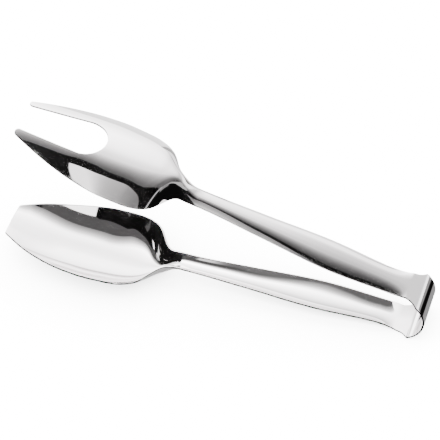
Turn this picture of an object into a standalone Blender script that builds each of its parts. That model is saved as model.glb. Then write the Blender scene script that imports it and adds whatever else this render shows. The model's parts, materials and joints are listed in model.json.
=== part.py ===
"""Serving tongs: a two-tined fork arm and a spoon arm pressed from one strip of
steel, joined at the far end by a bent spring bow.

The model is in metres with +Z up. The tongs lie on a table as they would at rest:
the flat lower leg of the bow and the belly of the spoon touch z = 0, the tips point
to -X and the bow to +X. The three pieces are drawn in the frame of the tongs, whose
middle plane is z = 0, and an empty tips that frame into the lying position.

The real tongs are one strip that flexes in its bow. Here each arm turns on a line
across the strip, in the middle of its thickness, where the bow meets the arm.
"""
import bpy
import bmesh
import numpy as np
from math import atan, cos, exp, pi, radians, sin, sqrt, tan

# The driving sizes, in metres.
SHEET = 0.0009                  # thickness of the steel strip
JOINT_GAP = 0.0003              # slit between the bow and each arm at the bend line

# The bow: a wide round arc, a tight corner at each side, then a flat leg.
BOW_WIDTH = 0.0233
BOW_RADIUS = 0.0134             # to the middle of the sheet
BOW_HALF_ANGLE = radians(52)    # half of the arc that the round part covers
CORNER_RADIUS = 0.0030
LEG_RUN = 0.0050                # flat leg, from the corner to the bend line
FLARE_RUN = 0.0029              # how fast the flare dies away behind the corner

# Both handles: shallow channels, arched outwards.
TAIL_WIDTH = 0.0157             # narrowest place beside the bow
TAIL_AT = 0.0080                # its distance from the bend line
GRIP_WIDTH = 0.0186             # widest place of the handle
GRIP_AT = 0.0395
WAIST_WIDTH = 0.0144            # on the taper to the neck
WAIST_AT = 0.0760
NECK_WIDTH = 0.0112             # narrowest place before the head
NECK_AT = 0.1080
GRIP_CROWN = 0.0029             # height of the arch over the rims
NECK_CROWN = 0.0030

# Both heads: the same pressed bowl, one slotted into two tines.
HEAD_WIDTH = 0.0492
HEAD_DEPTH = 0.0100
HANDLE_POWER = 2.0              # 2 is a parabola, more is flatter with steeper sides
HEAD_POWER = 2.4
ARM_REACH = 0.1986              # from the bend line to the tips
SPOON_TIP_WIDTH = 0.0200
SPOON_TIP_BULGE = 0.0006        # the tip edge is very slightly rounded
FORK_TIP_WIDTH = 0.0228         # over both tines
SLOT_TIP_WIDTH = 0.0162         # mouth of the slot
SLOT_WIDTH = 0.0211             # widest place of the slot
SLOT_LENGTH = 0.0424
SLOT_ROOT_RUN = 0.0109          # length of the rounded root of the slot

# How far the arms stand open, and how their rims run.
ARM_ANGLE = radians(8)          # how far an arm rises from the middle plane at rest
RIM_DROP = 0.0036               # how far the rims lie inside that rise
SOFT_RUN = 0.0040               # over how far the curves along the arm are smoothed
CUT_OVERRUN = 0.0100            # how far the slot cutter runs past the steel

# Places along the handle, as shares of the distance from bend line to neck.
RIM_HANDLE_SHARES = ((0.0, 0.0), (0.03, 0.30), (0.11, 0.65), (0.31, 0.88), (0.67, 1.0))
CROWN_HANDLE_SHARES = ((0.0, 0.0), (0.03, 0.41), (0.11, 0.82), (0.31, 1.0), (0.67, 0.96))

# Places along the head, as shares of the distance from neck to tip.
RIM_HEAD_SHARES = ((0.0, 1.12), (0.06, 1.31), (0.115, 1.20), (0.22, 0.90), (0.47, 0.90),
                   (0.69, 0.80))
CROWN_HEAD_SHARES = ((0.06, 0.58), (0.115, 0.985), (0.17, 1.035), (0.30, 1.0), (0.42, 0.94),
                     (0.60, 0.81), (0.78, 0.52), (1.0, 0.13))
WIDTH_HEAD_SHARES = ((0.055, 0.229), (0.105, 0.248), (0.15, 0.437), (0.20, 0.755), (0.265, 0.92),
                     (0.34, 0.985), (0.47, 1.0), (0.625, 0.93), (0.755, 0.81), (0.865, 0.67))
FORK_TIP_RIM_SHARE = 0.43       # the tines curve outwards
SPOON_TIP_RIM_SHARE = 1.42      # the spoon curves inwards like a scoop

# Rows of facets, as shares of the arm: closer together at the heel of the head.
ROW_SHARES = ((0.0, 0.0), (0.10, 0.06), (0.32, 0.50), (0.40, 0.57), (0.70, 0.72), (1.0, 1.0))
ARM_ROWS = 66
ARM_COLUMNS = 14
ARC_ROWS = 14
CORNER_ROWS = 4
LEG_ROWS = 3
BOW_COLUMNS = 6
CURVE_STEPS = 14
BELLY_STEPS = 400

STEEL_COLOUR = (0.62, 0.61, 0.60, 1.0)


def smooth_curve(points, start_slope=None):
    """A curve through the points that never overshoots them, as a function.

    It starts with the slope given, or else with that of its first stretch.
    """
    xs = np.array([p[0] for p in points], float)
    ys = np.array([p[1] for p in points], float)
    step = np.diff(xs)
    rise = np.diff(ys) / step
    slope = np.zeros(len(xs))
    for i in range(1, len(xs) - 1):
        if rise[i - 1] * rise[i] > 0:
            before = 2 * step[i] + step[i - 1]
            after = step[i] + 2 * step[i - 1]
            slope[i] = (before + after) / (before / rise[i - 1] + after / rise[i])
    slope[0] = rise[0] if start_slope is None else start_slope
    slope[-1] = rise[-1]

    def value(x):
        i = int(np.clip(np.searchsorted(xs, x) - 1, 0, len(step) - 1))
        t = (x - xs[i]) / step[i]
        start = ys[i] * (1 + 2 * t) * (1 - t) ** 2 + slope[i] * step[i] * t * (1 - t) ** 2
        end = ys[i + 1] * t * t * (3 - 2 * t) + slope[i + 1] * step[i] * t * t * (t - 1)
        return start + end

    return value


def softened(curve):
    """The curve averaged over a short stretch, so that its bends start and end softly."""
    def value(d):
        reach = min(SOFT_RUN, d, ARM_REACH - d)
        return sum((5 - abs(i)) * curve(d + reach * i / 5) for i in range(-4, 5)) / 25

    return value


def head_places(shares, unit):
    """Points along the head from shares of its length and of one of its sizes."""
    run = ARM_REACH - NECK_AT
    return [(NECK_AT + run * place, unit * share) for place, share in shares]


def handle_places(shares, unit):
    return [(NECK_AT * place, unit * share) for place, share in shares]


def flare(distance):
    """Half width that the flare adds at a distance along the strip from the corner."""
    return (BOW_WIDTH - TAIL_WIDTH) / 2 * exp(-distance / FLARE_RUN)


def half_width(tip_width):
    middle = [(0.0, TAIL_WIDTH / 2), (TAIL_AT, TAIL_WIDTH / 2), (GRIP_AT, GRIP_WIDTH / 2),
              (WAIST_AT, WAIST_WIDTH / 2), (NECK_AT, NECK_WIDTH / 2)]
    head = head_places(WIDTH_HEAD_SHARES, HEAD_WIDTH / 2)
    plain = softened(smooth_curve(middle + head + [(ARM_REACH, tip_width / 2)]))
    corner_run = CORNER_RADIUS * (pi / 2 - BOW_HALF_ANGLE) / 2 + LEG_RUN
    return lambda d: plain(d) + flare(corner_run + d)


def rim_height(tip_share, leg_angle):
    """Height of the rims over the bend line, with the arm at rest.

    An arm carries on smoothly from the flat leg of the bow, which rises at leg_angle.
    """
    drop = softened(smooth_curve(handle_places(RIM_HANDLE_SHARES, RIM_DROP)
                                 + head_places(RIM_HEAD_SHARES, RIM_DROP)
                                 + [(ARM_REACH, RIM_DROP * tip_share)],
                                 start_slope=tan(ARM_ANGLE) - tan(leg_angle)))
    return lambda d: tan(ARM_ANGLE) * d - drop(d)


def crown_height():
    return softened(smooth_curve(handle_places(CROWN_HANDLE_SHARES, GRIP_CROWN)
                                 + [(NECK_AT, NECK_CROWN)]
                                 + head_places(CROWN_HEAD_SHARES, HEAD_DEPTH), start_slope=0.0))


def section_power():
    return smooth_curve([(0.0, HANDLE_POWER), (WAIST_AT, HANDLE_POWER), (NECK_AT, HEAD_POWER),
                         (ARM_REACH, HEAD_POWER)])


def bow_profile(leg_slope):
    """Half of the bow's middle line, from its crown to the bend line, as (x, z, run).

    The run is counted along the strip from the middle of the corner. It is zero on the
    round part, which keeps the full width.
    """
    points = []
    for i in range(ARC_ROWS + 1):
        a = BOW_HALF_ANGLE * i / ARC_ROWS
        points.append((BOW_RADIUS * cos(a), BOW_RADIUS * sin(a), 0.0))
    turn = pi / 2 - leg_slope - BOW_HALF_ANGLE
    cx = (BOW_RADIUS - CORNER_RADIUS) * cos(BOW_HALF_ANGLE)
    cz = (BOW_RADIUS - CORNER_RADIUS) * sin(BOW_HALF_ANGLE)
    for i in range(1, CORNER_ROWS + 1):
        share = i / CORNER_ROWS
        a = BOW_HALF_ANGLE + turn * share
        run = max(0.0, CORNER_RADIUS * turn * (share - 0.5))
        points.append((cx + CORNER_RADIUS * cos(a), cz + CORNER_RADIUS * sin(a), run))
    x0, z0, run0 = points[-1]
    for i in range(1, LEG_ROWS + 1):
        d = LEG_RUN * i / LEG_ROWS
        points.append((x0 - d * cos(leg_slope), z0 + d * sin(leg_slope), run0 + d))
    return points


def resting_slope():
    """Slope of the flat leg: the line from the bend line that touches the spoon's belly."""
    rim = rim_height(SPOON_TIP_RIM_SHARE, ARM_ANGLE)
    crown = crown_height()
    steepest = 0.0
    for i in range(1, BELLY_STEPS + 1):
        d = NECK_AT + (ARM_REACH - NECK_AT) * i / BELLY_STEPS
        steepest = max(steepest, (rim(d) + crown(d)) / d)
    return atan(steepest)


def make_material(name, roughness):
    material = bpy.data.materials.new(name)
    material.use_nodes = True
    shader = material.node_tree.nodes["Principled BSDF"]
    shader.inputs["Base Color"].default_value = STEEL_COLOUR
    shader.inputs["Metallic"].default_value = 1.0
    shader.inputs["Roughness"].default_value = roughness
    material.diffuse_color = STEEL_COLOUR
    return material


def new_object(name, mesh, collection, material=None):
    piece = bpy.data.objects.new(name, mesh)
    collection.objects.link(piece)
    if material:
        piece.data.materials.append(material)
    return piece


def sheet_from_grid(name, rows, columns, place, collection, material):
    """A grid bent by place(u, v) with u from 0 to 1 and v from -1 to 1, then thickened."""
    bm = bmesh.new()
    bmesh.ops.create_grid(bm, x_segments=rows, y_segments=columns, size=1.0)
    for vert in bm.verts:
        vert.co = place((vert.co.x + 1) / 2, vert.co.y)
    bmesh.ops.recalc_face_normals(bm, faces=bm.faces)
    mesh = bpy.data.meshes.new(name)
    bm.to_mesh(mesh)
    bm.free()
    mesh.shade_smooth()
    piece = new_object(name, mesh, collection, material)
    solid = piece.modifiers.new("Sheet", "SOLIDIFY")
    solid.thickness = SHEET
    solid.offset = 0.0
    solid.use_even_offset = True
    solid.use_quality_normals = True
    return piece


def make_arm(name, side, tip_width, tip_share, tip_bulge, leg_angle, hinge, collection, material):
    """One arm. side is 1 for the upper arm and -1 for the lower one.

    Its origin is on its bend line, so it turns about its own Y axis.
    """
    width = half_width(tip_width)
    rim = rim_height(tip_share, leg_angle)
    crown = crown_height()
    power = section_power()
    row_place = smooth_curve(ROW_SHARES)

    def place(u, v):
        start = JOINT_GAP / 2
        d = start + (ARM_REACH - start) * row_place(u)
        x = -d - tip_bulge * (1 - v * v) * (d / ARM_REACH) ** 8
        z = rim(d) + crown(d) * (1 - abs(v) ** power(d))
        return (x, width(d) * v, side * z)

    arm = sheet_from_grid(name, ARM_ROWS, ARM_COLUMNS, place, collection, material)
    arm.location = (hinge[0], 0.0, side * hinge[1])
    return arm


def make_bow(name, profile, collection, material):
    """The bow is bent from the lower bend line round to the upper one."""
    below = [(x, -z, run) for x, z, run in reversed(profile)]
    line = below[:-1] + list(profile)
    # The ends stop short of the bend lines by half the slit.
    for end, inner in ((0, 1), (-1, -2)):
        x, z, run = line[end]
        dx = line[inner][0] - x
        dz = line[inner][1] - z
        share = JOINT_GAP / 2 / sqrt(dx * dx + dz * dz)
        line[end] = (x + dx * share, z + dz * share, run)

    def place(u, v):
        x, z, run = line[round(u * (len(line) - 1))]
        return (x, (TAIL_WIDTH / 2 + flare(run)) * v, z)

    return sheet_from_grid(name, len(line) - 1, BOW_COLUMNS, place, collection, material)


def slot_outline():
    """Plan of what is cut from the fork: the slot, and all past the rounded tines."""
    tip_half = SLOT_TIP_WIDTH / 2
    wide_half = SLOT_WIDTH / 2
    width = half_width(FORK_TIP_WIDTH)
    back = FORK_TIP_WIDTH - SLOT_TIP_WIDTH
    taper = atan((width(ARM_REACH - back) - width(ARM_REACH)) / back)
    # Radius of the round end that touches the slot's side and the tapered outer side.
    tine = back / 2 / (1 + 1 / cos(taper) - tan(taper))
    root = ARM_REACH - SLOT_LENGTH
    shoulder = root + SLOT_ROOT_RUN
    tine_end = ARM_REACH - tine
    half = []
    for i in range(CURVE_STEPS + 1):
        a = pi / 2 * i / CURVE_STEPS
        half.append((-shoulder + SLOT_ROOT_RUN * cos(a), wide_half * sin(a)))
    for i in range(CURVE_STEPS + 1):
        a = (pi - taper) * i / CURVE_STEPS
        half.append((-tine_end - tine * sin(a), tip_half + tine * (1 - cos(a))))
    x, y = half[-1]
    outside = y + CUT_OVERRUN * sin(taper)
    half.append((x + CUT_OVERRUN * cos(taper), outside))
    half.append((-ARM_REACH - CUT_OVERRUN, outside))
    lower = [(x, -y) for x, y in reversed(half[1:])]
    return half + lower


def make_slot_cutter(hinge, collection):
    curve = bpy.data.curves.new("slot_outline", "CURVE")
    curve.dimensions = "2D"
    curve.fill_mode = "BOTH"
    curve.extrude = (HEAD_DEPTH + RIM_DROP + tan(ARM_ANGLE) * ARM_REACH) / 2 + CUT_OVERRUN
    outline = slot_outline()
    spline = curve.splines.new("POLY")
    spline.points.add(len(outline) - 1)
    for point, (x, y) in zip(spline.points, outline):
        point.co = (x, y, 0.0, 1.0)
    spline.use_cyclic_u = True
    guide = new_object("slot_guide", curve, collection)
    guide.location = (hinge[0], 0.0, hinge[1] + tan(ARM_ANGLE) * ARM_REACH)
    bpy.context.view_layer.update()
    graph = bpy.context.evaluated_depsgraph_get()
    mesh = bpy.data.meshes.new_from_object(guide.evaluated_get(graph))
    bm = bmesh.new()
    bm.from_mesh(mesh)
    bmesh.ops.remove_doubles(bm, verts=bm.verts, dist=SHEET / 1000)
    bmesh.ops.recalc_face_normals(bm, faces=bm.faces)
    bm.to_mesh(mesh)
    bm.free()
    cutter = new_object("slot_cutter", mesh, collection)
    cutter.matrix_world = guide.matrix_world
    bpy.data.objects.remove(guide)
    cutter.hide_render = True
    cutter.display_type = "WIRE"
    return cutter


def main():
    for old in list(bpy.data.objects):
        bpy.data.objects.remove(old)
    scene = bpy.context.scene
    parts = bpy.data.collections.new("serving_tongs")
    cutters = bpy.data.collections.new("cutters")
    scene.collection.children.link(parts)
    scene.collection.children.link(cutters)

    lie = resting_slope()
    profile = bow_profile(lie)
    hinge = (profile[-1][0], profile[-1][1])

    bow = make_bow("spring_bow", profile, parts, make_material("steel_bow", 0.10))
    fork = make_arm("fork_arm", 1, FORK_TIP_WIDTH, FORK_TIP_RIM_SHARE, 0.0, lie, hinge,
                    parts, make_material("steel_fork", 0.10))
    spoon = make_arm("spoon_arm", -1, SPOON_TIP_WIDTH, SPOON_TIP_RIM_SHARE, SPOON_TIP_BULGE,
                     lie, hinge, parts, make_material("steel_spoon", 0.10))

    cutter = make_slot_cutter(hinge, cutters)
    cut = fork.modifiers.new("Slot", "BOOLEAN")
    cut.operation = "DIFFERENCE"
    cut.solver = "EXACT"
    cut.object = cutter

    # The frame of the tongs is tipped until the lower leg lies flat, then lifted and
    # centred, so that the origin is under the middle of the tongs, on the table.
    frame = bpy.data.objects.new("tongs_frame", None)
    parts.objects.link(frame)
    for piece in (bow, fork, spoon, cutter):
        piece.parent = frame
    frame.rotation_euler = (0.0, lie, 0.0)
    bpy.context.view_layer.update()
    low, high = bounds((bow, fork, spoon))
    frame.location = (-(low[0] + high[0]) / 2, 0.0, -low[2])
    bpy.context.view_layer.update()


def bounds(pieces):
    graph = bpy.context.evaluated_depsgraph_get()
    corners = []
    for piece in pieces:
        shape = piece.evaluated_get(graph)
        mesh = shape.to_mesh()
        corners += [shape.matrix_world @ vert.co for vert in mesh.vertices]
        shape.to_mesh_clear()
    table = np.array([tuple(c) for c in corners])
    return table.min(axis=0), table.max(axis=0)


main()
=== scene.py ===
"""Serving tongs pressed from one strip of polished steel: how they look.

The strip is drawn as two pieces that meet on the flat lower leg of the bow.
"""
import json
from math import asin, atan, cos, exp, pi, radians, sin, sqrt, tan

import bmesh
import bpy
from mathutils import Matrix, Vector
from mathutils.kdtree import KDTree


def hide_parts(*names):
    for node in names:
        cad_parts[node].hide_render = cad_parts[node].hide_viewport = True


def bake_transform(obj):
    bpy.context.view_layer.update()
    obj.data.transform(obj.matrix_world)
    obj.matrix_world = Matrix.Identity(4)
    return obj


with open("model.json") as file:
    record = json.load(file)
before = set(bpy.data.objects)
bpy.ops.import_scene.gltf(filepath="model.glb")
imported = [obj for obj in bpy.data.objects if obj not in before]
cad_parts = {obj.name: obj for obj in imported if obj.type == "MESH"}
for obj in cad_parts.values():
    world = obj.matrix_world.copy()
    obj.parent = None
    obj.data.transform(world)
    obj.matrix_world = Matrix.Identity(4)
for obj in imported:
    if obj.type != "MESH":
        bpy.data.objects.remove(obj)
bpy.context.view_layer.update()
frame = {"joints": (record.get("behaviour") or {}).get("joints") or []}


# Fork arm and bow. The upper arm of the real tongs runs without a joint through the
# round bow to the lower leg. It is blanked from 0.9 mm stainless strip, pressed hollow,
# slotted into two tines, then polished bright all over with softly rounded edges.
SHEET = 0.0009
BOW_WIDTH = 0.0233
BOW_RADIUS = 0.0134
BOW_HALF_ANGLE = radians(52)
CORNER_RADIUS = 0.0030
LEG_RUN = 0.0050
FLARE_RUN = 0.0029
SEAM_RUN = 0.0012               # from the lower corner to where the two pieces meet

TAIL_WIDTH = 0.0157
TAIL_AT = 0.0080
GRIP_WIDTH = 0.0186
GRIP_AT = 0.0395
WAIST_WIDTH = 0.0144
WAIST_AT = 0.0760
NECK_WIDTH = 0.0112
NECK_AT = 0.1080
GRIP_CROWN = 0.0029
NECK_CROWN = 0.0030

HEAD_WIDTH = 0.0492
HEAD_DEPTH = 0.0100
HANDLE_POWER = 2.0              # 2 is a parabola, more is flatter with steeper sides
HEAD_POWER = 2.4
ARM_REACH = 0.1986
FORK_TIP_WIDTH = 0.0228
SLOT_TIP_WIDTH = 0.0162
SLOT_WIDTH = 0.0211
SLOT_LENGTH = 0.0424
SLOT_ROOT_RUN = 0.0109
ARM_ANGLE = radians(8)
RIM_DROP = 0.0036
SOFT_RUN = 0.0040               # over how far the curves along the arm are smoothed
SOFT_STEPS = 5
FORK_TIP_RIM_SHARE = 0.43

RIM_HANDLE_SHARES = ((0.0, 0.0), (0.03, 0.30), (0.11, 0.65), (0.31, 0.88), (0.67, 1.0))
CROWN_HANDLE_SHARES = ((0.0, 0.0), (0.03, 0.41), (0.11, 0.82), (0.31, 1.0), (0.67, 0.96))
RIM_HEAD_SHARES = ((0.0, 1.12), (0.06, 1.31), (0.115, 1.20), (0.22, 0.90), (0.47, 0.90),
                   (0.69, 0.80))
CROWN_HEAD_SHARES = ((0.06, 0.58), (0.115, 0.985), (0.17, 1.035), (0.30, 1.0), (0.42, 0.94),
                     (0.60, 0.81), (0.78, 0.52), (1.0, 0.13))
WIDTH_HEAD_SHARES = ((0.055, 0.229), (0.105, 0.248), (0.15, 0.437), (0.20, 0.755), (0.265, 0.92),
                     (0.34, 0.985), (0.47, 1.0), (0.625, 0.93), (0.755, 0.81), (0.865, 0.67))

COLUMNS = 26                    # facets from the middle line to the rim
COLUMN_SHARES = [i / COLUMNS for i in range(COLUMNS)] + [0.985, 1.0]
SEAM_ROWS, ARC_ROWS, CORNER_ROWS, LEG_ROWS = 3, 64, 12, 12
TAIL_ROWS, HANDLE_ROWS, FORK_HEAD_ROWS = 18, 100, 84
ROOT_ROWS, TINE_ROWS, TINE_END_ROWS = 22, 40, 14
TINE_END_TURN = radians(84)     # how far the rows follow the round end of a tine
EDGE_STEPS = 10                 # facets round the polished edge
EDGE_SQUARENESS = 0.45          # 1 is a half circle, less is squarer
EDGE_ZONE = 0.0016              # how far in from the rims the steel is more rubbed
WELD = SHEET / 1000             # points nearer to each other than this are one
WELD_EDGE = SHEET / 5000
MM = 1000                       # in a metre

STEEL = (0.675, 0.650, 0.655, 1)
WORN_STEEL = (0.73, 0.71, 0.71, 1)

# The finish. Scales are in waves per mm, and a small first stretch draws the pattern out
# along the strip. Heights are in thousandths of a mm.
LINES_SCALE, LINES_STRETCH = 5.0, (0.02, 1, 1)
HAZE_SCALE, HAZE_STRETCH = 0.35, (0.12, 1, 1)
WAVES_SCALE, WAVES_STRETCH = 0.10, (0.6, 1, 1)
SMUDGE_SCALE, SMUDGE_STEP = 0.055, (0.50, 0.66)
WORN_SCALE, WORN_STRETCH, WORN_STEP = 0.5, (0.3, 1, 1), (0.35, 0.6)
SCRATCH_TURNS_AND_SCALES = ((0.35, 0.45), (-0.6, 0.3))
SCRATCH_STRETCH, SCRATCH_STEP = (0.06, 1, 1), (0.035, 0.012)
SCRATCHED_SCALE, SCRATCHED_STEP = 0.11, (0.50, 0.62)
HAZE_ROUGHNESS = (0.30, 0.70, 0.012, 0.030)
LINES_ROUGHNESS, SMUDGE_ROUGHNESS = 0.010, 0.012
SCRATCH_ROUGHNESS, WORN_ROUGHNESS = 0.035, 0.05
SCRATCH_WEAR = 0.5              # how far a scratch takes on the colour of worn steel
WAVES_HEIGHT, LINES_HEIGHT, SCRATCH_HEIGHT, WORN_HEIGHT = 3.0, 0.015, -0.2, 0.1
HEIGHT_UNIT = 1e-6
FORK_USE = 0.6                  # its share of the smudges and scratches


def smooth_curve(points, start_slope=None):
    """A curve through the points that never overshoots them, as a function."""
    xs, ys = zip(*points)
    step = [b - a for a, b in zip(xs, xs[1:])]
    rise = [(b - a) / s for a, b, s in zip(ys, ys[1:], step)]
    slope = [rise[0] if start_slope is None else start_slope]
    for i in range(1, len(xs) - 1):
        before, after = 2 * step[i] + step[i - 1], step[i] + 2 * step[i - 1]
        same_way = rise[i - 1] * rise[i] > 0
        slope.append((before + after) / (before / rise[i - 1] + after / rise[i]) if same_way else 0.0)
    slope.append(rise[-1])

    def value(x):
        i = 0
        while i < len(step) - 1 and x > xs[i + 1]:
            i += 1
        t = (x - xs[i]) / step[i]
        start = ys[i] * (1 + 2 * t) * (1 - t) ** 2 + slope[i] * step[i] * t * (1 - t) ** 2
        return start + ys[i + 1] * t * t * (3 - 2 * t) + slope[i + 1] * step[i] * t * t * (t - 1)

    return value


def softened(curve):
    """The curve averaged over a short stretch, so that its bends start and end softly."""
    def value(d):
        reach = min(SOFT_RUN, d, ARM_REACH - d)
        steps = range(1 - SOFT_STEPS, SOFT_STEPS)
        total = sum((SOFT_STEPS - abs(i)) * curve(d + reach * i / SOFT_STEPS) for i in steps)
        return total / SOFT_STEPS ** 2

    return value


def head_places(shares, unit):
    return [(NECK_AT + (ARM_REACH - NECK_AT) * place, unit * share) for place, share in shares]


def handle_places(shares, unit):
    return [(NECK_AT * place, unit * share) for place, share in shares]


def flare(run):
    """Half width that the flare adds at a run along the strip past the bow's corner."""
    return (BOW_WIDTH - TAIL_WIDTH) / 2 * exp(-max(run, 0.0) / FLARE_RUN)


def arm_width(tip_width):
    middle = [(0.0, TAIL_WIDTH / 2), (TAIL_AT, TAIL_WIDTH / 2), (GRIP_AT, GRIP_WIDTH / 2),
              (WAIST_AT, WAIST_WIDTH / 2), (NECK_AT, NECK_WIDTH / 2)]
    plain = softened(smooth_curve(middle + head_places(WIDTH_HEAD_SHARES, HEAD_WIDTH / 2)
                                  + [(ARM_REACH, tip_width / 2)]))
    corner_run = CORNER_RADIUS * (pi / 2 - BOW_HALF_ANGLE) / 2 + LEG_RUN
    return lambda d: plain(d) + flare(corner_run + d)


def rim_height(tip_share, leg_slope):
    drop = softened(smooth_curve(handle_places(RIM_HANDLE_SHARES, RIM_DROP)
                                 + head_places(RIM_HEAD_SHARES, RIM_DROP)
                                 + [(ARM_REACH, RIM_DROP * tip_share)], tan(ARM_ANGLE) - leg_slope))
    return lambda d: tan(ARM_ANGLE) * d - drop(d)


def crown_height():
    return softened(smooth_curve(handle_places(CROWN_HANDLE_SHARES, GRIP_CROWN) + [(NECK_AT, NECK_CROWN)]
                                 + head_places(CROWN_HEAD_SHARES, HEAD_DEPTH), 0.0))


def section_power():
    return smooth_curve([(0.0, HANDLE_POWER), (WAIST_AT, HANDLE_POWER), (NECK_AT, HEAD_POWER),
                         (ARM_REACH, HEAD_POWER)])


# The bend lines of the CAD joints give the frame that the strip is drawn in: its middle
# plane is halfway between them, and distances along an arm are counted from its line.
bend_lines = {j["child"]: Vector(j["pos_m"]) for j in frame["joints"]}
upper_bend, lower_bend = bend_lines["fork_arm"], bend_lines["spoon_arm"]
upwards = (upper_bend - lower_bend).normalized()
bend_height = (upper_bend - lower_bend).length / 2
leg_angle = asin(upwards.x)
bow_arc = BOW_RADIUS * BOW_HALF_ANGLE
corner_turn = pi / 2 - leg_angle - BOW_HALF_ANGLE
corner_arc = CORNER_RADIUS * corner_turn
bow_run = bow_arc + corner_arc + LEG_RUN
bend_at = ((BOW_RADIUS - CORNER_RADIUS) * cos(BOW_HALF_ANGLE)
           + CORNER_RADIUS * sin(leg_angle) - LEG_RUN * cos(leg_angle))
strip_to_world = Matrix.Translation((upper_bend + lower_bend) / 2) @ Matrix.Rotation(leg_angle, 4, "Y")


def bow_row(run):
    """One row of the bow at a run from its crown, below the crown if negative."""
    up = 1 if run > 0 else -1
    s = abs(run)
    corner_x = (BOW_RADIUS - CORNER_RADIUS) * cos(BOW_HALF_ANGLE)
    corner_z = (BOW_RADIUS - CORNER_RADIUS) * sin(BOW_HALF_ANGLE)
    if s <= bow_arc:
        x, z = BOW_RADIUS * cos(s / BOW_RADIUS), BOW_RADIUS * sin(s / BOW_RADIUS)
    else:
        angle = BOW_HALF_ANGLE + min(s - bow_arc, corner_arc) / CORNER_RADIUS
        leg = max(0.0, s - bow_arc - corner_arc)
        x = corner_x + CORNER_RADIUS * cos(angle) - leg * cos(leg_angle)
        z = corner_z + CORNER_RADIUS * sin(angle) + leg * sin(leg_angle)
    half = TAIL_WIDTH / 2 + flare(s - bow_arc - corner_arc / 2) - SHEET / 2
    return lambda t: Vector((x - bend_at, half * t, up * z))


def spaced(*stretches):
    """Places along the strip: each stretch is (start, end, pieces)."""
    places = [stretches[0][0]]
    for start, end, pieces in stretches:
        places += [start + (end - start) * (i + 1) / pieces for i in range(pieces)]
    return places


def tine_places():
    """Where the slot and the round tine ends lie along the fork."""
    back = FORK_TIP_WIDTH - SLOT_TIP_WIDTH
    taper = atan((fork_width(ARM_REACH - back) - fork_width(ARM_REACH)) / back)
    radius = back / 2 / (1 + 1 / cos(taper) - tan(taper))
    return ARM_REACH - SLOT_LENGTH, ARM_REACH - radius, radius


def fork_row(d):
    """One row of the fork arm at distance d from its bend line, half of it."""
    width, rim, top, bend = fork_width(d), fork_rim(d), crown(d), power(d)
    inner, outer = slot_half(d), min(width - SHEET / 2, tine_outer(d))

    def place(t):
        y = sqrt(inner ** 2 + t * t * (outer ** 2 - inner ** 2))
        height = rim + top * (1 - (y / width) ** bend)
        return Vector((-d, y, bend_height + height))

    return place


def slot_half(d):
    """Half width of the slot as far as the edge's roundness reaches."""
    grown = SHEET / 2
    if d <= slot_root - grown:
        return 0.0
    if d < slot_root + SLOT_ROOT_RUN:
        share = (slot_root + SLOT_ROOT_RUN - d) / (SLOT_ROOT_RUN + grown)
        return (SLOT_WIDTH / 2 + grown) * sqrt(max(0.0, 1 - share ** 2))
    straight = (min(d, tine_end) - slot_root - SLOT_ROOT_RUN) / (tine_end - slot_root - SLOT_ROOT_RUN)
    half = SLOT_WIDTH / 2 + (SLOT_TIP_WIDTH - SLOT_WIDTH) / 2 * straight + grown
    if d > tine_end:
        half = SLOT_TIP_WIDTH / 2 + tine_radius - tine_reach(d)
    return half


def tine_reach(d):
    return sqrt(max(0.0, (tine_radius - SHEET / 2) ** 2 - (d - tine_end) ** 2))


def tine_outer(d):
    """Outer side of the round tine end, or far out where the tine is still tapered."""
    if d <= tine_end:
        return HEAD_WIDTH
    return SLOT_TIP_WIDTH / 2 + tine_radius + tine_reach(d)


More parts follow.
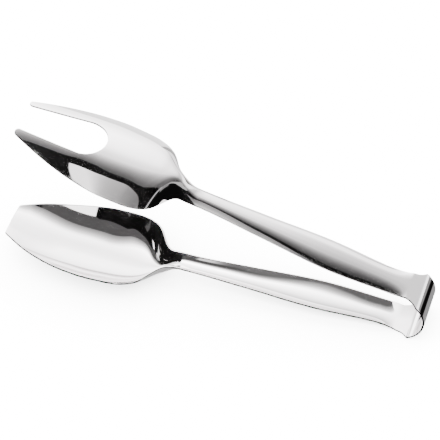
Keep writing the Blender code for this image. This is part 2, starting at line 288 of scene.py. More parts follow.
def steel_piece(name, rows, seam_row):
    """A closed strip with rounded edges through the rows, given from seam to tip."""
    bm = bmesh.new()
    near_edge = bm.verts.layers.float.new("near_edge")
    strip_place = bm.verts.layers.float_vector.new("strip_place")
    bmesh.ops.create_grid(bm, x_segments=len(rows) - 1, y_segments=len(COLUMN_SHARES) - 1, size=1.0)
    for vert in bm.verts:
        row = round((vert.co.x + 1) / 2 * (len(rows) - 1))
        column = round((vert.co.y + 1) / 2 * (len(COLUMN_SHARES) - 1))
        vert.co = rows[row](COLUMN_SHARES[column])
    bmesh.ops.mirror(bm, geom=bm.verts[:] + bm.edges[:] + bm.faces[:], axis="Y", merge_dist=WELD)
    bmesh.ops.recalc_face_normals(bm, faces=bm.faces)
    bm.normal_update()

    def on_seam(vert):
        return (vert.co.xz - seam_row(0).xz).length < WELD

    # Every open side but the seam gets a rounded edge, so its direction is kept.
    open_edges = [e for e in bm.edges if e.is_boundary and not all(on_seam(v) for v in e.verts)]
    outwards = {}
    for edge in open_edges:
        face = edge.link_faces[0]
        side = (edge.verts[1].co - edge.verts[0].co).cross(face.normal).normalized()
        middle = (edge.verts[0].co + edge.verts[1].co) / 2
        if side.dot(middle - face.calc_center_median()) < 0:
            side.negate()
        for vert in edge.verts:
            outwards[vert] = outwards.get(vert, Vector()) + side
    middles = {v: (v.co.copy(), v.normal.copy(), o.normalized()) for v, o in outwards.items()}
    rims = KDTree(len(outwards))
    for number, vert in enumerate(outwards):
        rims.insert(vert.co, number)
    rims.balance()
    for vert in bm.verts:
        vert[strip_place] = vert.co * MM
        vert[near_edge] = max(0.0, 1 - rims.find(vert.co)[2] / EDGE_ZONE)

    copy = bmesh.ops.duplicate(bm, geom=bm.verts[:] + bm.edges[:] + bm.faces[:])
    under = [g for g in copy["geom"] if isinstance(g, bmesh.types.BMVert)]
    under_faces = [g for g in copy["geom"] if isinstance(g, bmesh.types.BMFace)]
    below = set(under)
    for vert in bm.verts:
        vert.co += vert.normal * (SHEET / 2 if vert not in below else -SHEET / 2)
    bmesh.ops.reverse_faces(bm, faces=under_faces)

    edges, source = open_edges, {v: v for v in outwards}
    for step in range(1, EDGE_STEPS + 1):
        angle = pi / 2 - pi * step / EDGE_STEPS
        made = bmesh.ops.extrude_edge_only(bm, edges=edges)["geom"]
        edges = [g for g in made if isinstance(g, bmesh.types.BMEdge)]
        fresh = {g for g in made if isinstance(g, bmesh.types.BMVert)}
        edges = [e for e in edges if e.verts[0] in fresh and e.verts[1] in fresh]
        following = {}
        for vert in fresh:
            before = next(e.other_vert(vert) for e in vert.link_edges if e.other_vert(vert) in source)
            following[vert] = source[before]
            middle, normal, out = middles[source[before]]
            up, side = sin(angle), cos(angle)
            up = abs(up) ** EDGE_SQUARENESS * (1 if up > 0 else -1)
            vert.co = middle + (normal * up + out * max(side, 0.0) ** EDGE_SQUARENESS) * SHEET / 2
        source = following
    bmesh.ops.remove_doubles(bm, verts=bm.verts, dist=WELD_EDGE)
    cap = bmesh.ops.holes_fill(bm, edges=[e for e in bm.edges if e.is_boundary])["faces"]
    bmesh.ops.recalc_face_normals(bm, faces=bm.faces)
    for face in bm.faces:
        face.smooth = True
    for face in cap:
        for edge in face.edges:
            edge.smooth = False
    bmesh.ops.transform(bm, matrix=strip_to_world, verts=bm.verts)
    mesh = bpy.data.meshes.new(name)
    bm.to_mesh(mesh)
    bm.free()
    piece = bpy.data.objects.new(name, mesh)
    bpy.context.scene.collection.objects.link(piece)
    return piece


fork_width = arm_width(FORK_TIP_WIDTH)
fork_rim = rim_height(FORK_TIP_RIM_SHARE, tan(leg_angle))
crown = crown_height()
power = section_power()
slot_root, tine_end, tine_radius = tine_places()

seam_at = -(bow_arc + corner_arc + SEAM_RUN)
bow_places = spaced((seam_at, -bow_arc - corner_arc, SEAM_ROWS),
                    (-bow_arc - corner_arc, -bow_arc, CORNER_ROWS), (-bow_arc, bow_arc, ARC_ROWS),
                    (bow_arc, bow_arc + corner_arc, CORNER_ROWS),
                    (bow_arc + corner_arc, bow_run, LEG_ROWS))
root_angles = [pi / 2 * i / ROOT_ROWS for i in range(1, ROOT_ROWS + 1)]
tip_angles = [TINE_END_TURN * i / TINE_END_ROWS for i in range(1, TINE_END_ROWS + 1)]
fork_places = spaced((0.0, TAIL_AT, TAIL_ROWS), (TAIL_AT, NECK_AT, HANDLE_ROWS),
                     (NECK_AT, slot_root - SHEET / 2, FORK_HEAD_ROWS))[1:]
fork_places += [slot_root + SLOT_ROOT_RUN - (SLOT_ROOT_RUN + SHEET / 2) * cos(a) for a in root_angles]
fork_places += spaced((slot_root + SLOT_ROOT_RUN, tine_end, TINE_ROWS))[1:]
fork_places += [tine_end + (tine_radius - SHEET / 2) * sin(a) for a in tip_angles]
fork_rows = [bow_row(s) for s in bow_places] + [fork_row(d) for d in fork_places]

fork_strip = steel_piece("fork_and_bow", fork_rows, bow_row(seam_at))


def link_math(tree, operation, *values):
    """A math node fed with sockets or plain numbers; returns its result."""
    node = tree.nodes.new("ShaderNodeMath")
    node.operation = operation
    for socket, value in zip(node.inputs, values):
        if isinstance(value, bpy.types.NodeSocket):
            tree.links.new(value, socket)
        else:
            socket.default_value = value
    return node.outputs[0]


def ramp(tree, value, start, end, low=0.0, high=1.0, straight=False):
    """A soft step of a value between start and end, from low to high."""
    node = tree.nodes.new("ShaderNodeMapRange")
    node.interpolation_type = "LINEAR" if straight else "SMOOTHSTEP"
    for socket, number in (("Value", value), ("From Min", start), ("From Max", end), ("To Min", low),
                           ("To Max", high)):
        if isinstance(number, bpy.types.NodeSocket):
            tree.links.new(number, node.inputs[socket])
        else:
            node.inputs[socket].default_value = number
    return node.outputs["Result"]


def layer(tree, under, over, *masks):
    """over where all the masks are 1, under where one of them is 0."""
    mask = masks[0]
    for more in masks[1:]:
        mask = link_math(tree, "MULTIPLY", mask, more)
    node = tree.nodes.new("ShaderNodeMix")
    for socket, value in ((node.inputs["Factor"], mask), (node.inputs["A"], under), (node.inputs["B"], over)):
        if isinstance(value, bpy.types.NodeSocket):
            tree.links.new(value, socket)
        else:
            socket.default_value = value
    return node.outputs["Result"]


def split_vector(tree, vector):
    split = tree.nodes.new("ShaderNodeSeparateXYZ")
    tree.links.new(vector, split.inputs[0])
    return split.outputs


def noise(tree, place, scale, stretch=(1, 1, 1), detail=2.0):
    """Noise between about 0.3 and 0.7; the scale is in waves per mm."""
    mapping = tree.nodes.new("ShaderNodeMapping")
    mapping.inputs["Scale"].default_value = stretch
    tree.links.new(place, mapping.inputs["Vector"])
    node = tree.nodes.new("ShaderNodeTexNoise")
    tree.links.new(mapping.outputs["Vector"], node.inputs["Vector"])
    node.inputs["Scale"].default_value = scale
    node.inputs["Detail"].default_value = detail
    return node.outputs[0]


def scratches(tree, place, turn, scale):
    """Hairlines that run one way: the thin borders between long cells, here and there."""
    mapping = tree.nodes.new("ShaderNodeMapping")
    mapping.inputs["Rotation"].default_value = (0, 0, turn)
    mapping.inputs["Scale"].default_value = SCRATCH_STRETCH
    tree.links.new(place, mapping.inputs["Vector"])
    cells = tree.nodes.new("ShaderNodeTexVoronoi")
    cells.feature = "DISTANCE_TO_EDGE"
    cells.inputs["Scale"].default_value = scale
    tree.links.new(mapping.outputs["Vector"], cells.inputs["Vector"])
    thin = ramp(tree, cells.outputs["Distance"], *SCRATCH_STEP)
    scratched = ramp(tree, noise(tree, place, SCRATCHED_SCALE), *SCRATCHED_STEP)
    return link_math(tree, "MULTIPLY", thin, scratched)


def steel_finish():
    """Node group: what polishing and use leave on bright steel, from places in mm."""
    tree = bpy.data.node_groups.new("steel_finish", "ShaderNodeTree")
    for side, name, kind in (("INPUT", "Place", "Vector"), ("INPUT", "Near Edge", "Float"),
                             ("INPUT", "Use", "Float"), ("OUTPUT", "Color", "Color"),
                             ("OUTPUT", "Roughness", "Float"), ("OUTPUT", "Height", "Float")):
        tree.interface.new_socket(name, in_out=side, socket_type="NodeSocket" + kind)
    given, result = tree.nodes.new("NodeGroupInput"), tree.nodes.new("NodeGroupOutput")
    place, near, use = given.outputs[:3]
    lines = noise(tree, place, LINES_SCALE, LINES_STRETCH, detail=3.0)
    haze = noise(tree, place, HAZE_SCALE, HAZE_STRETCH)
    waves = noise(tree, place, WAVES_SCALE, WAVES_STRETCH, detail=1.0)
    smudge = ramp(tree, noise(tree, place, SMUDGE_SCALE, detail=4.0), *SMUDGE_STEP)
    smudge = link_math(tree, "MULTIPLY", smudge, use)
    hair = link_math(tree, "MAXIMUM", *[scratches(tree, place, *way) for way in SCRATCH_TURNS_AND_SCALES])
    hair = link_math(tree, "MULTIPLY", hair, use)
    rubbed = ramp(tree, noise(tree, place, WORN_SCALE, WORN_STRETCH), *WORN_STEP)
    worn = link_math(tree, "MULTIPLY", near, rubbed)
    rough = ramp(tree, haze, *HAZE_ROUGHNESS, True)
    for amount, more in ((lines, LINES_ROUGHNESS), (smudge, SMUDGE_ROUGHNESS), (hair, SCRATCH_ROUGHNESS),
                         (worn, WORN_ROUGHNESS)):
        rough = link_math(tree, "MULTIPLY_ADD", amount, more, rough)
    # The color sockets share their names with others, so they go by number.
    color = tree.nodes.new("ShaderNodeMix")
    color.data_type = "RGBA"
    color.inputs[6].default_value = STEEL
    color.inputs[7].default_value = WORN_STEEL
    tree.links.new(link_math(tree, "MULTIPLY_ADD", hair, SCRATCH_WEAR, worn), color.inputs[0])
    height = link_math(tree, "MULTIPLY", waves, WAVES_HEIGHT)
    for amount, more in ((lines, LINES_HEIGHT), (hair, SCRATCH_HEIGHT), (worn, WORN_HEIGHT)):
        height = link_math(tree, "MULTIPLY_ADD", amount, more, height)
    for socket, value in zip(result.inputs, (color.outputs[2], rough, height)):
        tree.links.new(value, socket)
    return tree


def bright_steel(name, use):
    """Polished stainless steel. use says how many smudges and hairlines it has."""
    steel = bpy.data.materials.new(name)
    steel.use_nodes = True
    tree = steel.node_tree
    shader = tree.nodes["Principled BSDF"]
    shader.inputs["Metallic"].default_value = 1.0
    finish = tree.nodes.new("ShaderNodeGroup")
    finish.node_tree = finish_group
    finish.inputs["Use"].default_value = use
    for attribute, output, socket in (("strip_place", "Vector", "Place"), ("near_edge", "Fac", "Near Edge")):
        node = tree.nodes.new("ShaderNodeAttribute")
        node.attribute_name = attribute
        tree.links.new(node.outputs[output], finish.inputs[socket])
    bump = tree.nodes.new("ShaderNodeBump")
    bump.inputs["Strength"].default_value = 1.0
    bump.inputs["Distance"].default_value = HEIGHT_UNIT
    for source, socket in (("Color", shader.inputs["Base Color"]), ("Roughness", shader.inputs["Roughness"]),
                           ("Height", bump.inputs["Height"])):
        tree.links.new(finish.outputs[source], socket)
    tree.links.new(bump.outputs["Normal"], shader.inputs["Normal"])
    return steel


finish_group = steel_finish()
fork_strip.data.materials.append(bright_steel("bright_steel_fork", FORK_USE))

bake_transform(fork_strip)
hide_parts("fork_arm", "spring_bow")


# Spoon arm. The lower arm of the same steel strip carries on from the flat leg that lies
# on the table, through a shallow channel handle, to a deep bowl. It is pressed like the
# fork arm and cut off almost square at the tip.
SPOON_TIP_WIDTH = 0.0200
SPOON_TIP_BULGE = 0.0006
BULGE_POWER = 8                 # the bulge is only in the last part of the bowl
SPOON_TIP_RIM_SHARE = 1.42
SPOON_CORNER = 0.0012           # radius of the two corners of the tip
SPOON_LEG_ROWS, SPOON_HEAD_ROWS, SPOON_CORNER_ROWS = 10, 140, 6
SPOON_USE = 1.0                 # its share of the smudges and scratches


def spoon_row(d):
    width, rim, top, bend = spoon_width(d), spoon_rim(d), crown(d), power(d)
    half = width - SHEET / 2
    past = d - (ARM_REACH - SPOON_CORNER)
    if past > 0:
        half += sqrt(max(0.0, (SPOON_CORNER - SHEET / 2) ** 2 - past ** 2)) - SPOON_CORNER + SHEET / 2

    def place(t):
        y = half * t
        v = y / width
        height = rim + top * (1 - v ** bend)
        bulge = SPOON_TIP_BULGE * (1 - v * v) * (d / ARM_REACH) ** BULGE_POWER
        return Vector((-d - bulge, y, -bend_height - height))

    return place


spoon_width = arm_width(SPOON_TIP_WIDTH)
spoon_rim = rim_height(SPOON_TIP_RIM_SHARE, tan(leg_angle))
leg_places = spaced((seam_at, -bow_run, SPOON_LEG_ROWS))
corner_angles = [pi / 2 * i / SPOON_CORNER_ROWS for i in range(1, SPOON_CORNER_ROWS + 1)]
spoon_places = spaced((0.0, TAIL_AT, TAIL_ROWS), (TAIL_AT, NECK_AT, HANDLE_ROWS),
                      (NECK_AT, ARM_REACH - SPOON_CORNER, SPOON_HEAD_ROWS))[1:]
spoon_places += [ARM_REACH - SPOON_CORNER + (SPOON_CORNER - SHEET / 2) * sin(a) for a in corner_angles]
spoon_rows = [bow_row(s) for s in leg_places] + [spoon_row(d) for d in spoon_places]
spoon_strip = steel_piece("spoon_arm_strip", spoon_rows, bow_row(seam_at))

spoon_strip.data.materials.append(bright_steel("bright_steel_spoon", SPOON_USE))
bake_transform(spoon_strip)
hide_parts("spoon_arm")


# Table. A plain pale top that the tongs lie on. For the steel's reflections only, it glows with
# painted light and shade: white behind the tongs and black in front of them and beyond the bow,
# with two grey patches, which the camera doesn't see. Brightness is in stops, so 1 more is twice as bright.
TABLE_SIZE = 6.0
TABLE_WHITE = (0.93, 0.93, 0.93, 1)
TABLE_ROUGHNESS = 0.6
BLACK = -7.2
WHITE_BEHIND = 1.6
GREY_BEYOND = -1.0
GREY_PATCH = -0.2
# A step between two brightnesses starts and ends at these places, in mm.
FRONT_STEP = (30.0, 6.0)
GREY_ACROSS_STEP, GREY_BACK_STEP = (95.0, 100.0), (-10.0, 2.0)
BEYOND_STEP, BEYOND_BACK_STEP = (128.0, 131.0), (90.0, 50.0)
PATCH_STEPS = ((-42.0, -36.0), (-12.0, -16.0))
PATCH_FRONT_STEP = (-20.0, -14.0)


def flat_sheet(name, low, high):
    """A flat rectangle for the stage, with its own places in mm as an attribute."""
    bm = bmesh.new()
    bmesh.ops.create_grid(bm, x_segments=1, y_segments=1, size=0.5)
    for vert in bm.verts:
        vert.co.x = low[0] + (high[0] - low[0]) * (vert.co.x + 0.5)
        vert.co.y = low[1] + (high[1] - low[1]) * (vert.co.y + 0.5)
    mesh = bpy.data.meshes.new(name)
    bm.to_mesh(mesh)
    bm.free()
    places = mesh.attributes.new("place_mm", "FLOAT_VECTOR", "POINT")
    for spot, vert in zip(places.data, mesh.vertices):
        spot.vector = vert.co * MM
    sheet = bpy.data.objects.new(name, mesh)
    bpy.context.scene.collection.objects.link(sheet)
    return sheet


def place_mm(tree):
    node = tree.nodes.new("ShaderNodeAttribute")
    node.attribute_name = "place_mm"
    return split_vector(tree, node.outputs["Vector"])[:2]


def mix_shaders(tree, under, over, mask):
    mix = tree.nodes.new("ShaderNodeMixShader")
    for socket, value in zip(mix.inputs, (mask, under, over)):
        tree.links.new(value, socket)
    tree.links.new(mix.outputs["Shader"], tree.nodes["Material Output"].inputs["Surface"])


table = flat_sheet("table_top", (-TABLE_SIZE / 2, -TABLE_SIZE / 2), (TABLE_SIZE / 2, TABLE_SIZE / 2))
paint = bpy.data.materials.new("pale_table")
paint.use_nodes = True
tree = paint.node_tree
shader = tree.nodes["Principled BSDF"]
shader.inputs["Base Color"].default_value = TABLE_WHITE
shader.inputs["Roughness"].default_value = TABLE_ROUGHNESS
shader.inputs["Specular IOR Level"].default_value = 0.0
x, y = place_mm(tree)
stops = layer(tree, WHITE_BEHIND, BLACK, ramp(tree, y, *FRONT_STEP))
stops = layer(tree, stops, GREY_BEYOND, ramp(tree, x, *GREY_ACROSS_STEP), ramp(tree, y, *GREY_BACK_STEP))
stops = layer(tree, stops, BLACK, ramp(tree, x, *BEYOND_STEP), ramp(tree, y, *BEYOND_BACK_STEP))
stops = layer(tree, stops, GREY_PATCH, *[ramp(tree, x, *step) for step in PATCH_STEPS],
              ramp(tree, y, *PATCH_FRONT_STEP))
# Painted reflection: a glow that only glossy rays see, standing in for the studio around the tongs, not the
# table's own colour.
mirrored = tree.nodes.new("ShaderNodeEmission")
tree.links.new(link_math(tree, "POWER", 2.0, stops), mirrored.inputs["Strength"])
glossy = tree.nodes.new("ShaderNodeLightPath").outputs["Is Glossy Ray"]
mix_shaders(tree, shader.outputs["BSDF"], mirrored.outputs["Emission"], glossy)
table.data.materials.append(paint)


# Pane. In the photo the spoon arm mirrors a dark strip and soft light whose source can't be
# seen. A pane between the arms, fitted to the part, stands in for it. Only the steel sees
# it, and only from below. It doesn't move with the arms.
PANE_LOW = (-0.206, -0.045)
PANE_HIGH = (0.006, 0.100)
PANE_HEAD_END, PANE_HANDLE_END = (42.0, 26.0), (98.0, 70.0)     # where it fades out, in y
PANE_NECK_STEP = (-135.0, -115.0)

# Dark and light meet on an edge. Places are in mm, x along the tongs from the bend lines
# and y across. Four numbers are the start and end of a step, then its two values.
HEAD_STEP = (-140.0, -142.0)
HEAD_EDGE_MIDDLE, HEAD_EDGE_TOP = 163.0, 14.0
HEAD_EDGE_BEND = (-163.1, -162.9, -0.011, -0.05)
HEAD_EDGE_TIP = (-170.0, -180.0, -20.0, 7.2)
HANDLE_EDGE_MIDDLE, HANDLE_EDGE_BEND, HANDLE_EDGE_TOP = 35.0, -0.0017, 4.1
HANDLE_EDGE_RISES = ((-30.0, -14.0, 0.0, 1.1), (-14.0, 0.0, 0.0, 4.0))
BOW_EDGE, BOW_EDGE_STEP = -8.0, (-6.4, -4.8)
EDGE_SOFTNESS = 0.4

# Above the edge the light grows with the distance from it, and fades far out.
LIGHT_SPREAD, LIGHT_SPREAD_BOW = (-85.0, -45.0, 1.2, 2.6), (-9.0, -4.0, 0.0, 2.4)
LIGHT_FIRST, LIGHT_FIRST_HEAD = (-85.0, -50.0, -2.7, -0.8), -0.8
LIGHT_RUN, LIGHT_NEAR, LIGHT_FURTHER = (0.0, 8.0), 2.5, (6.0, 16.0, 0.0, 1.5)
LIGHT_FADE_FROM, LIGHT_FADE, LIGHT_MOST = 10.0, -0.8, (-100.0, 0.0, 6.7, 5.5)

# Below it lie the dark strip of the handle with a light streak by the neck, and in the
# bowl a black oval with a white patch and a grey ring.
STRIP_DARK = (-85.0, -35.0, -2.75, -2.2)
STREAK_SLOPE, STREAK_AT, STREAK_LIGHT = -0.5, 38.5, (-92.0, -106.0, -1.9, 1.1)
STREAK_STEPS, STREAK_END = ((5.0, 1.0), (-10.0, -3.0)), (-115.0, -111.0)
GLEAM_WHITE, GLEAM_SLOPE, GLEAM_SLANT_STEP = 2.5, 0.9, (-180.4, -179.4)
GLEAM_END_STEP, GLEAM_LOW_STEP = (-169.4, -170.0), (-2.5, -1.5)
OVAL_TOP, OVAL_TOP_DROP = (-170.0, -168.0, 4.0, 5.3), (-157.0, -154.0, 0.0, 2.3)
OVAL_SOFTNESS, OVAL_SLOPE, OVAL_END_STEP = 0.3, 0.25, (-151.5, -153.0)
NECK_BLACK_STEP, TIP_BLACK_STEP = (-150.0, -149.0), (-182.0, -183.0)
RING_DARK, RING_SLOPE, RING_AT, RING_SOFTNESS = -2.85, -0.65, 101.4, 0.2
RING_WIDTH, RING_END_STEP = (-161.0, -155.0, 1.4, 2.8), (-159.3, -160.7)


def pane_edge(tree, x, head):
    """Height of the edge between dark and light."""
    off = link_math(tree, "POWER", link_math(tree, "ADD", x, HEAD_EDGE_MIDDLE), 2.0)
    edge_head = link_math(tree, "MULTIPLY_ADD", off, ramp(tree, x, *HEAD_EDGE_BEND), HEAD_EDGE_TOP)
    edge_head = link_math(tree, "MAXIMUM", edge_head, ramp(tree, x, *HEAD_EDGE_TIP))
    off = link_math(tree, "MINIMUM", link_math(tree, "ADD", x, HANDLE_EDGE_MIDDLE), 0.0)
    off = link_math(tree, "POWER", off, 2.0)
    edge = link_math(tree, "MULTIPLY_ADD", off, HANDLE_EDGE_BEND, HANDLE_EDGE_TOP)
    for rise in HANDLE_EDGE_RISES:
        edge = link_math(tree, "ADD", edge, ramp(tree, x, *rise, True))
    edge = layer(tree, edge, BOW_EDGE, ramp(tree, x, *BOW_EDGE_STEP))
    return layer(tree, edge, edge_head, head)


def pane_light(tree, x, y, edge, head):
    """Stops above the edge."""
    above = link_math(tree, "MAXIMUM", link_math(tree, "SUBTRACT", y, edge), 0.0)
    spread = link_math(tree, "ADD", ramp(tree, x, *LIGHT_SPREAD), ramp(tree, x, *LIGHT_SPREAD_BOW))
    above = link_math(tree, "MULTIPLY", above, layer(tree, spread, 1.0, head))
    first = layer(tree, ramp(tree, x, *LIGHT_FIRST), LIGHT_FIRST_HEAD, head)
    light = link_math(tree, "ADD", ramp(tree, above, *LIGHT_RUN, first, LIGHT_NEAR, True),
                      ramp(tree, above, *LIGHT_FURTHER))
    far = link_math(tree, "LOGARITHM", link_math(tree, "MAXIMUM", y, LIGHT_FADE_FROM), 2.0)
    most = link_math(tree, "MULTIPLY_ADD", far, LIGHT_FADE, ramp(tree, x, *LIGHT_MOST, True))
    return link_math(tree, "MINIMUM", light, most)


def pane_dark(tree, x, y, head):
    """Stops below the edge."""
    dark = ramp(tree, x, *STRIP_DARK)
    streak = link_math(tree, "SUBTRACT", link_math(tree, "MULTIPLY_ADD", x, STREAK_SLOPE, y), STREAK_AT)
    dark = layer(tree, dark, ramp(tree, x, *STREAK_LIGHT),
                 *[ramp(tree, streak, *step) for step in STREAK_STEPS], ramp(tree, x, *STREAK_END))
    slant = ramp(tree, link_math(tree, "MULTIPLY_ADD", y, GLEAM_SLOPE, x), *GLEAM_SLANT_STEP)
    oval = layer(tree, BLACK, GLEAM_WHITE, slant, ramp(tree, x, *GLEAM_END_STEP),
                 ramp(tree, y, *GLEAM_LOW_STEP))
    low = link_math(tree, "SUBTRACT", y, ramp(tree, x, *OVAL_TOP))
    low = link_math(tree, "ADD", low, ramp(tree, x, *OVAL_TOP_DROP))
    low = ramp(tree, low, OVAL_SOFTNESS, -OVAL_SOFTNESS)
    leaning = link_math(tree, "MULTIPLY_ADD", y, OVAL_SLOPE, x)
    dark = layer(tree, dark, oval, head, low, ramp(tree, leaning, *OVAL_END_STEP))
    dark = layer(tree, dark, BLACK, head, ramp(tree, leaning, *NECK_BLACK_STEP))
    ring = link_math(tree, "SUBTRACT", link_math(tree, "MULTIPLY_ADD", x, RING_SLOPE, y), RING_AT)
    past = link_math(tree, "SUBTRACT", ring, ramp(tree, x, *RING_WIDTH))
    dark = layer(tree, dark, RING_DARK, head, ramp(tree, ring, -RING_SOFTNESS, RING_SOFTNESS),
                 ramp(tree, past, RING_SOFTNESS, -RING_SOFTNESS), ramp(tree, x, *RING_END_STEP))
    return layer(tree, dark, BLACK, ramp(tree, x, *TIP_BLACK_STEP))


pane = flat_sheet("mirror_pane", PANE_LOW, PANE_HIGH)
pane.data.transform(strip_to_world)
pane.visible_camera = pane.visible_diffuse = pane.visible_shadow = False
seen = bpy.data.materials.new("under_fork_light")
seen.use_nodes = True
tree = seen.node_tree
tree.nodes.remove(tree.nodes["Principled BSDF"])
x, y = place_mm(tree)
head = ramp(tree, x, *HEAD_STEP)
edge = pane_edge(tree, x, head)
over_edge = ramp(tree, link_math(tree, "SUBTRACT", y, edge), -EDGE_SOFTNESS, EDGE_SOFTNESS)
stops = layer(tree, pane_dark(tree, x, y, head), pane_light(tree, x, y, edge, head), over_edge)
light = tree.nodes.new("ShaderNodeEmission")
tree.links.new(link_math(tree, "POWER", 2.0, stops), light.inputs["Strength"])
from_below = tree.nodes.new("ShaderNodeNewGeometry").outputs["Backfacing"]
glossy = tree.nodes.new("ShaderNodeLightPath").outputs["Is Glossy Ray"]
ends = layer(tree, ramp(tree, y, *PANE_HEAD_END), ramp(tree, y, *PANE_HANDLE_END),
             ramp(tree, x, *PANE_NECK_STEP))
shown = link_math(tree, "MULTIPLY", link_math(tree, "MULTIPLY", from_below, glossy), ends)
clear = tree.nodes.new("ShaderNodeBsdfTransparent")
mix_shaders(tree, clear.outputs["BSDF"], light.outputs["Emission"], shown)
pane.data.materials.append(seen)


# Scrim. A grey net over the bow, which only the steel sees, dims what the bow and the
# end of the handle mirror. It is densest beyond the bow and thins out at its far sides.
SCRIM_LOW = (0.02, -0.10)
SCRIM_HIGH = (0.50, 0.40)
SCRIM_HEIGHT = 0.15
SCRIM_DIMMING = (30.0, 120.0, 0.0, -1.2)
SCRIM_BACK_STEP, SCRIM_END_STEP = (390.0, 130.0), (480.0, 200.0)

scrim = flat_sheet("scrim", SCRIM_LOW, SCRIM_HIGH)
scrim.data.transform(Matrix.Translation((0, 0, SCRIM_HEIGHT)))
scrim.visible_camera = scrim.visible_diffuse = scrim.visible_shadow = False
net = bpy.data.materials.new("grey_net")
net.use_nodes = True
tree = net.node_tree
tree.nodes.remove(tree.nodes["Principled BSDF"])
x, y = place_mm(tree)
clear = tree.nodes.new("ShaderNodeBsdfTransparent")
dimmed = link_math(tree, "MULTIPLY", ramp(tree, x, *SCRIM_DIMMING), ramp(tree, y, *SCRIM_BACK_STEP))
dimmed = link_math(tree, "MULTIPLY", dimmed, ramp(tree, x, *SCRIM_END_STEP))
tree.links.new(link_math(tree, "POWER", 2.0, dimmed), clear.inputs["Color"])
tree.links.new(clear.outputs["BSDF"], tree.nodes["Material Output"].inputs["Surface"])
scrim.data.materials.append(net)


# Light. Soft, even light for the table. What the steel mirrors is a white dome behind and
# over the tongs that fades to black in front, with one window and one stripe in the black.
# Angles are in degrees from straight up: across to +X and down to the front.
FILL = 19.0
LEAST_FLAT = 1e-6               # keeps straight up from dividing by zero

# Over the tongs the white fades in stops, faster on the left.
FADE_REACH, FADE_REACH_MORE = (10, 26, 21, 35), ((34, 70, 0, 11), (3, -5, 0, 4))
FADE_START, FADE_STOPS, OVER_WHITE = (-40, -15, 2, 24), -3.65, 1.7
BEHIND_WHITE, BEHIND_FADE, BEHIND_STEP = (2, 18, 3.17, 2.2), (-55, -95, 0, -0.74), (-24, -46)
# The black in front has a crisp upper edge on the right.
FRONT_EDGE_RUN, FRONT_EDGE_POWER, FRONT_EDGE_DROP = (8.5, 27, 0, 1), 0.75, 16.3
FRONT_EDGE_LEFT, FRONT_EDGE_SOFTNESS = (2, -6, 0, 2.5), 0.8
FRONT_BLACK = (12, 20, -6.2, -7.2)
STRIPE_LIGHT = -0.1
STRIPE_ACROSS_STEPS, STRIPE_DOWN_STEPS = ((70, 74), (82, 80)), ((12, 14), (56, 48))
WINDOW_LIGHT = ((5, 17, 1.85, -0.74), (17, 32, 0, -0.69))
WINDOW_TOP_STEP, WINDOW_SLANT, WINDOW_SLANT_STEP = (11.6, 12.6), -0.95, (1.2, 2.4)
WINDOW_LEFT_SHIFT, WINDOW_LEFT_STEP, WINDOW_FOOT_STEP = (18, 38, 0, -1.8), (-1.6, -0.6), (62, 54)

world = bpy.data.worlds.new("studio")
bpy.context.scene.world = world
world.use_nodes = True
tree = world.node_tree
x, y, z = split_vector(tree, tree.nodes.new("ShaderNodeTexCoord").outputs["Generated"])
tilt = link_math(tree, "DEGREES", link_math(tree, "ARCCOSINE", z))
flat = link_math(tree, "SQRT", link_math(tree, "MULTIPLY_ADD", x, x, link_math(tree, "MULTIPLY", y, y)))
stretch = link_math(tree, "DIVIDE", tilt, link_math(tree, "MAXIMUM", flat, LEAST_FLAT))
across = link_math(tree, "MULTIPLY", x, stretch)
down = link_math(tree, "MULTIPLY", y, link_math(tree, "MULTIPLY", stretch, -1.0))

reach = ramp(tree, across, *FADE_REACH, True)
for more in FADE_REACH_MORE:
    reach = link_math(tree, "ADD", reach, ramp(tree, across, *more, True))
fade = link_math(tree, "ADD", down, ramp(tree, across, *FADE_START))
fade = link_math(tree, "DIVIDE", link_math(tree, "MAXIMUM", fade, 0.0), reach)
stops = link_math(tree, "MULTIPLY_ADD", fade, FADE_STOPS, OVER_WHITE)
behind = link_math(tree, "ADD", ramp(tree, across, *BEHIND_WHITE, True), ramp(tree, down, *BEHIND_FADE))
stops = layer(tree, stops, behind, ramp(tree, down, *BEHIND_STEP))

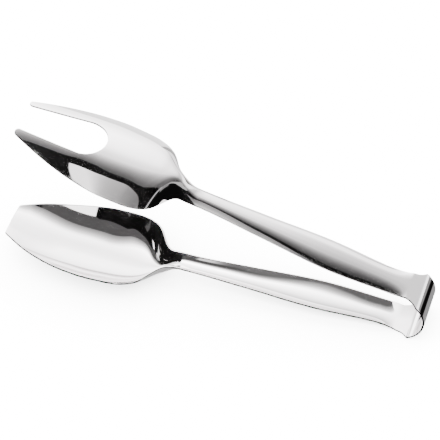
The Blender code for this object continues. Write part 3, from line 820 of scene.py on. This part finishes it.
edge = link_math(tree, "POWER", ramp(tree, across, *FRONT_EDGE_RUN, True), FRONT_EDGE_POWER)
edge = link_math(tree, "MULTIPLY_ADD", edge, FRONT_EDGE_DROP, ramp(tree, across, *FRONT_EDGE_LEFT))
past = ramp(tree, link_math(tree, "SUBTRACT", down, edge), -FRONT_EDGE_SOFTNESS, FRONT_EDGE_SOFTNESS)
stops = layer(tree, stops, ramp(tree, across, *FRONT_BLACK, True), past)
stops = layer(tree, stops, STRIPE_LIGHT, *[ramp(tree, across, *step) for step in STRIPE_ACROSS_STEPS],
              *[ramp(tree, down, *step) for step in STRIPE_DOWN_STEPS])
slanted = link_math(tree, "MULTIPLY_ADD", across, WINDOW_SLANT, down)
window = link_math(tree, "ADD", *[ramp(tree, across, *part, True) for part in WINDOW_LIGHT])
shifted = link_math(tree, "ADD", across, ramp(tree, down, *WINDOW_LEFT_SHIFT))
stops = layer(tree, stops, window, ramp(tree, down, *WINDOW_TOP_STEP),
              ramp(tree, slanted, *WINDOW_SLANT_STEP), ramp(tree, shifted, *WINDOW_LEFT_STEP),
              ramp(tree, down, *WINDOW_FOOT_STEP))
glossy = tree.nodes.new("ShaderNodeLightPath").outputs["Is Glossy Ray"]
strength = layer(tree, FILL, link_math(tree, "POWER", 2.0, stops), glossy)
tree.nodes["Background"].inputs["Color"].default_value = (1, 1, 1, 1)
tree.links.new(strength, tree.nodes["Background"].inputs["Strength"])


# Camera. It looks down on the tongs from the front right, at the photo's angle, and is
# rolled a little. Its place and lens were fitted to the outlines in the photo.
CAMERA_AZIMUTH = radians(20.326)
CAMERA_ELEVATION = radians(45.246)
CAMERA_ROLL = radians(-3.802)
CAMERA_DISTANCE = 1.01222
CAMERA_TARGET = Vector((0.003915, 0.0, 0.044236))
CAMERA_LENS = 173.74            # in mm, as is the sensor
CAMERA_SENSOR = 36
CAMERA_NEAR, CAMERA_FAR = 0.05, 20

camera_data = bpy.data.cameras.new("camera")
camera_data.lens = CAMERA_LENS
camera_data.sensor_width = CAMERA_SENSOR
camera_data.clip_start = CAMERA_NEAR
camera_data.clip_end = CAMERA_FAR
camera = bpy.data.objects.new("camera", camera_data)
bpy.context.scene.collection.objects.link(camera)
back = Vector((sin(CAMERA_AZIMUTH) * cos(CAMERA_ELEVATION), -cos(CAMERA_AZIMUTH) * cos(CAMERA_ELEVATION),
               sin(CAMERA_ELEVATION)))
camera.location = CAMERA_TARGET + back * CAMERA_DISTANCE
camera.rotation_mode = "QUATERNION"
level = Vector((cos(CAMERA_AZIMUTH), sin(CAMERA_AZIMUTH), 0))
top = back.cross(level)
right = level * cos(CAMERA_ROLL) + top * sin(CAMERA_ROLL)
top = back.cross(right)
camera.rotation_quaternion = Matrix((right, top, back)).transposed().to_quaternion()
bpy.context.scene.camera = camera
